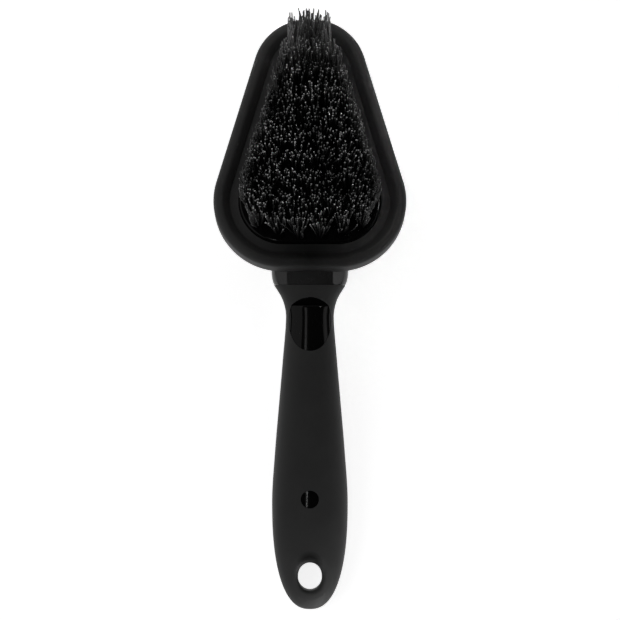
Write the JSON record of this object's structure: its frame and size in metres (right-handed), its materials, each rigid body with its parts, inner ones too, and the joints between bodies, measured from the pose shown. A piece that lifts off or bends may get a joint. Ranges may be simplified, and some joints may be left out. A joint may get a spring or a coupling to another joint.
{
  "type": "wheel brush",
  "caption": "Hand brush for cleaning wheels: tapered bristle head with a soft bumper edge, soft sleeved handle with a thumb window and a hang hole.",
  "frame": {"origin": "under the middle of the brush's bounding box, on the plane it rests on when it lies on its back", "axes": "+Y along the brush from the handle's butt to the head's toe, +Z the way the bristles point, +X across the head"},
  "size_m": [0.0922, 0.2896, 0.0638],
  "materials": {
    "core_plastic": "black, glossy",
    "bumper_rubber": "black, soft matte",
    "grip_rubber": "black, soft matte",
    "bristle_fibre": "black filament, satin"
  },
  "bodies": {
    "root": {"brush_core": "core_plastic", "head_bumper": "bumper_rubber", "handle_grip": "grip_rubber", "bristle_tuft_01": "bristle_fibre", "bristle_tuft_02": "bristle_fibre", "bristle_tuft_03": "bristle_fibre", "bristle_tuft_04": "bristle_fibre", "bristle_tuft_05": "bristle_fibre", "bristle_tuft_06": "bristle_fibre", "bristle_tuft_07": "bristle_fibre", "bristle_tuft_08": "bristle_fibre", "bristle_tuft_09": "bristle_fibre", "bristle_tuft_10": "bristle_fibre", "bristle_tuft_11": "bristle_fibre", "bristle_tuft_12": "bristle_fibre", "bristle_tuft_13": "bristle_fibre", "bristle_tuft_14": "bristle_fibre", "bristle_tuft_15": "bristle_fibre", "bristle_tuft_16": "bristle_fibre", "bristle_tuft_17": "bristle_fibre", "bristle_tuft_18": "bristle_fibre", "bristle_tuft_19": "bristle_fibre", "bristle_tuft_20": "bristle_fibre", "bristle_tuft_21": "bristle_fibre", "bristle_tuft_22": "bristle_fibre", "bristle_tuft_23": "bristle_fibre", "bristle_tuft_24": "bristle_fibre", "bristle_tuft_25": "bristle_fibre", "bristle_tuft_26": "bristle_fibre", "bristle_tuft_27": "bristle_fibre", "bristle_tuft_28": "bristle_fibre", "bristle_tuft_29": "bristle_fibre", "bristle_tuft_30": "bristle_fibre", "bristle_tuft_31": "bristle_fibre", "bristle_tuft_32": "bristle_fibre", "bristle_tuft_33": "bristle_fibre", "bristle_tuft_34": "bristle_fibre", "bristle_tuft_35": "bristle_fibre", "bristle_tuft_36": "bristle_fibre", "bristle_tuft_37": "bristle_fibre", "bristle_tuft_38": "bristle_fibre", "bristle_tuft_39": "bristle_fibre", "bristle_tuft_40": "bristle_fibre", "bristle_tuft_41": "bristle_fibre", "bristle_tuft_42": "bristle_fibre", "bristle_tuft_43": "bristle_fibre", "bristle_tuft_44": "bristle_fibre", "bristle_tuft_45": "bristle_fibre", "bristle_tuft_46": "bristle_fibre", "bristle_tuft_47": "bristle_fibre", "bristle_tuft_48": "bristle_fibre", "bristle_tuft_49": "bristle_fibre", "bristle_tuft_50": "bristle_fibre", "bristle_tuft_51": "bristle_fibre", "bristle_tuft_52": "bristle_fibre", "bristle_tuft_53": "bristle_fibre"}
  },
  "joints": []
}
